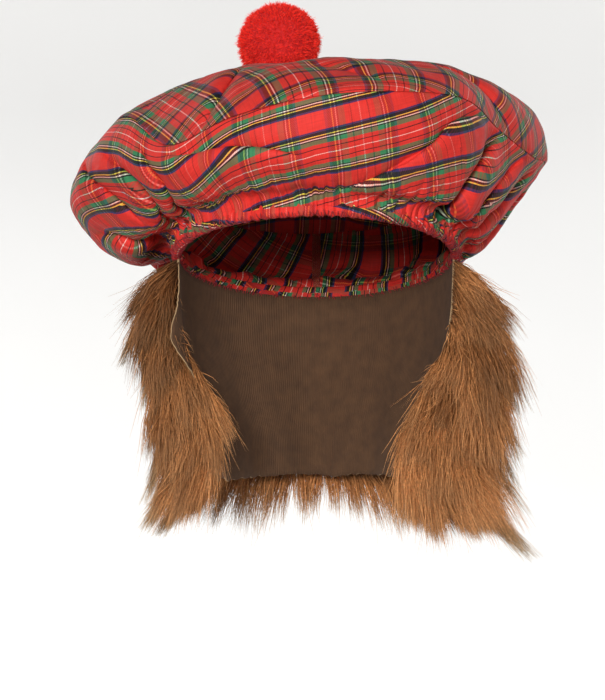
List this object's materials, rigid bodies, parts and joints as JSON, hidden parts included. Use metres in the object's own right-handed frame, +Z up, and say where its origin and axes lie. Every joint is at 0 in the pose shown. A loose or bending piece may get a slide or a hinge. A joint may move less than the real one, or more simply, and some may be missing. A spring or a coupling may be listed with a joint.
{
  "type": "tam o shanter with attached hair",
  "caption": "Soft tartan tam o shanter with an elastic-gathered rim, a yarn pompom on top and a faux-fur hair curtain round the sides and back.",
  "frame": {"origin": "centre of the head opening, in the plane of the rim's lower edge", "axes": "+Z up, the front of the cap faces -Y, +X is to the right when looking at its front; the rim plane is tilted back by 12.5 degrees about X, as worn"},
  "size_m": [0.2761, 0.2748, 0.3194],
  "materials": {
    "tartan_cloth": "matt woven cotton blend, red tartan",
    "red_yarn": "matt cut acrylic yarn",
    "ginger_faux_fur": "soft sheen, long-pile faux fur"
  },
  "bodies": {
    "root": {"crown_top": "tartan_cloth", "crown_band": "tartan_cloth", "elastic_casing": "tartan_cloth", "pompom": "red_yarn", "hair_curtain": "ginger_faux_fur"}
  },
  "joints": []
}
